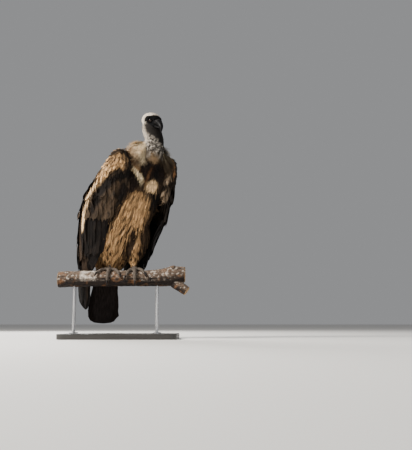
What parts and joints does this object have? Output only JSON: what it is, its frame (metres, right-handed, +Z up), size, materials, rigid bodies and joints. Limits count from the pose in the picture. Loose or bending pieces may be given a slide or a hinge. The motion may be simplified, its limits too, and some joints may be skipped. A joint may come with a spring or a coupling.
{
  "type": "perched vulture model",
  "caption": "Life-size vulture standing at rest on a short cut branch, head turned to one side and wings folded, held over a flat base by two short rods.",
  "frame": {"origin": "centre of the base's flat underside", "axes": "+Z up through the bird; the branch runs along X; -Y is the branch's front, and the bird's body faces between -Y and +X"},
  "size_m": [0.5563, 0.4155, 0.9315],
  "materials": {
    "tan_feather": "soft",
    "brown_feather": "soft",
    "flight_feather": "satin",
    "down": "soft",
    "dark_skin": "satin",
    "scale": "satin",
    "horn": "polished",
    "eye": "polished",
    "bark": "rough",
    "base": "satin",
    "rod": "brushed"
  },
  "bodies": {
    "root": {"stand_base": "base", "stand_rod_left": "rod", "stand_rod_right": "rod", "perch": "bark", "trunk": "tan_feather", "neck": "down", "ruff": "down", "head": "dark_skin", "bill_upper": "horn", "bill_lower": "horn", "eye_right": "eye", "eye_left": "eye", "wing_right_coverts": "brown_feather", "wing_right_secondaries": "flight_feather", "wing_right_primaries": "flight_feather", "wing_left_coverts": "brown_feather", "wing_left_secondaries": "flight_feather", "wing_left_primaries": "flight_feather", "tail": "flight_feather", "thigh_right": "tan_feather", "tarsus_right": "scale", "toe_right_middle": "scale", "claw_right_middle": "horn", "toe_right_inner": "scale", "claw_right_inner": "horn", "toe_right_outer": "scale", "claw_right_outer": "horn", "toe_right_back": "scale", "claw_right_back": "horn", "thigh_left": "tan_feather", "tarsus_left": "scale", "toe_left_middle": "scale", "claw_left_middle": "horn", "toe_left_inner": "scale", "claw_left_inner": "horn", "toe_left_outer": "scale", "claw_left_outer": "horn", "toe_left_back": "scale", "claw_left_back": "horn"}
  },
  "joints": []
}
